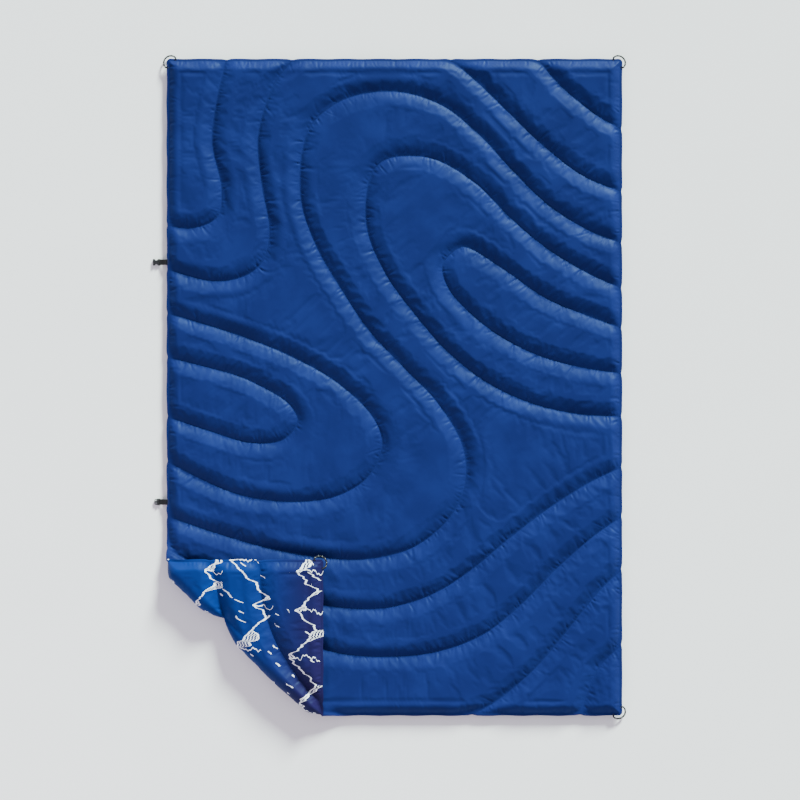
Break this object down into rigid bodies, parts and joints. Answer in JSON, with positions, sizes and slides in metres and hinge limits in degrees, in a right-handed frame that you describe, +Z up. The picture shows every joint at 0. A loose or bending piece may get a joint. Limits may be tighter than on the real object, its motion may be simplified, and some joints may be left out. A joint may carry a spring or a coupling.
{
  "type": "quilted camp blanket",
  "caption": "Quilted two-sided camp blanket lying flat with one corner folded over, with cord loops at its corners and a small buckle on its edge.",
  "frame": {"origin": "on the floor, under the middle of the unfolded blanket", "axes": "+X across the blanket, away from the edge with the clips; +Y along it, away from the folded corner; +Z up"},
  "size_m": [1.3733, 1.9278, 0.0643],
  "materials": {
    "front_fabric": "semi-gloss woven nylon",
    "back_fabric": "semi-gloss printed nylon",
    "insulation": "matt fibre",
    "thread": "matt",
    "tack_thread": "matt",
    "cord": "matt braid",
    "webbing": "matt weave",
    "buckle_plastic": "satin"
  },
  "bodies": {
    "main_panel": {"front_shell_main": "front_fabric", "insulation_main": "insulation", "back_shell_main": "back_fabric", "seam_hook_inner": "thread", "seam_hook_outer": "thread", "seam_left_lobe_inner": "thread", "seam_left_lobe_outer": "thread", "seam_long_wave": "thread", "seam_lower_right_inner": "thread", "seam_lower_right_outer": "thread", "seam_lower_wave_lower": "thread", "seam_lower_wave_upper": "thread", "seam_upper_left_inner": "thread", "seam_upper_left_outer": "thread", "seam_upper_right_inner": "thread", "seam_upper_right_outer": "thread", "edge_stitch_main": "thread", "loop_tack_top_left_end": "tack_thread", "loop_tack_top_left_side": "tack_thread", "loop_tack_top_right_end": "tack_thread", "loop_tack_top_right_side": "tack_thread", "loop_tack_bottom_right_end": "tack_thread", "loop_tack_bottom_right_side": "tack_thread", "tab_tack_upper": "tack_thread", "tab_tack_lower": "tack_thread"},
    "folded_corner": {"front_shell_corner": "front_fabric", "insulation_corner": "insulation", "back_shell_corner": "back_fabric", "seam_folded_corner_turned": "thread", "seam_lower_wave_lower_turned": "thread", "edge_stitch_corner": "thread", "loop_tack_bottom_left_end": "tack_thread", "loop_tack_bottom_left_side": "tack_thread"},
    "cord_loop_top_left": {"loop_top_left": "cord"},
    "cord_loop_top_right": {"loop_top_right": "cord"},
    "cord_loop_bottom_right": {"loop_bottom_right": "cord"},
    "cord_loop_bottom_left": {"loop_bottom_left": "cord"},
    "webbing_tab_upper": {"tab_upper": "webbing"},
    "webbing_tab_lower": {"tab_lower": "webbing"},
    "socket": {"buckle_socket": "buckle_plastic"},
    "plug": {"buckle_plug": "buckle_plastic"},
    "left_prong": {"prong_left": "buckle_plastic"},
    "right_prong": {"prong_right": "buckle_plastic"}
  },
  "joints": [
    {"name": "corner_fold", "type": "hinge", "parent": "main_panel", "child": "folded_corner", "pos_m": [-0.433, -0.725, 0.03215], "axis": [0.7071, -0.7071, 0], "range_deg": [0, 179.9]},
    {"name": "loop_swing_top_left", "type": "hinge", "parent": "main_panel", "child": "cord_loop_top_left", "pos_m": [-0.64899, 0.94099, 0.016], "axis": [0.7071, 0.7071, 0], "range_deg": [0, 100]},
    {"name": "loop_swing_top_right", "type": "hinge", "parent": "main_panel", "child": "cord_loop_top_right", "pos_m": [0.64899, 0.94099, 0.016], "axis": [0.7071, -0.7071, 0], "range_deg": [0, 100]},
    {"name": "loop_swing_bottom_right", "type": "hinge", "parent": "main_panel", "child": "cord_loop_bottom_right", "pos_m": [0.64899, -0.94099, 0.016], "axis": [-0.7071, -0.7071, 0], "range_deg": [0, 100]},
    {"name": "loop_swing_bottom_left", "type": "hinge", "parent": "folded_corner", "child": "cord_loop_bottom_left", "pos_m": [-0.21701, -0.50901, 0.0483], "axis": [0.7071, -0.7071, 0], "range_deg": [0, 100]},
    {"name": "tab_swing_upper", "type": "hinge", "parent": "main_panel", "child": "webbing_tab_upper", "pos_m": [-0.662, 0.363, 0.016], "axis": [0, 1, 0], "range_deg": [0, 120]},
    {"name": "socket_swing", "type": "hinge", "parent": "webbing_tab_upper", "child": "socket", "pos_m": [-0.68143, 0.363, 0.0037], "axis": [0, 1, 0], "range_deg": [-45, 60]},
    {"name": "tab_swing_lower", "type": "hinge", "parent": "main_panel", "child": "webbing_tab_lower", "pos_m": [-0.662, -0.333, 0.016], "axis": [0, 1, 0], "range_deg": [0, 120]},
    {"name": "plug_swing", "type": "hinge", "parent": "webbing_tab_lower", "child": "plug", "pos_m": [-0.68143, -0.333, 0.0037], "axis": [0, 1, 0], "range_deg": [-45, 60]},
    {"name": "left_prong_squeeze", "type": "hinge", "parent": "plug", "child": "left_prong", "pos_m": [-0.68943, -0.339, 0.0037], "axis": [0, 0, -1], "range_deg": [0, 10], "stiffness_Nm_per_rad": 0.2},
    {"name": "right_prong_squeeze", "type": "hinge", "parent": "plug", "child": "right_prong", "pos_m": [-0.68943, -0.327, 0.0037], "axis": [0, 0, 1], "range_deg": [0, 10], "stiffness_Nm_per_rad": 0.2}
  ]
}
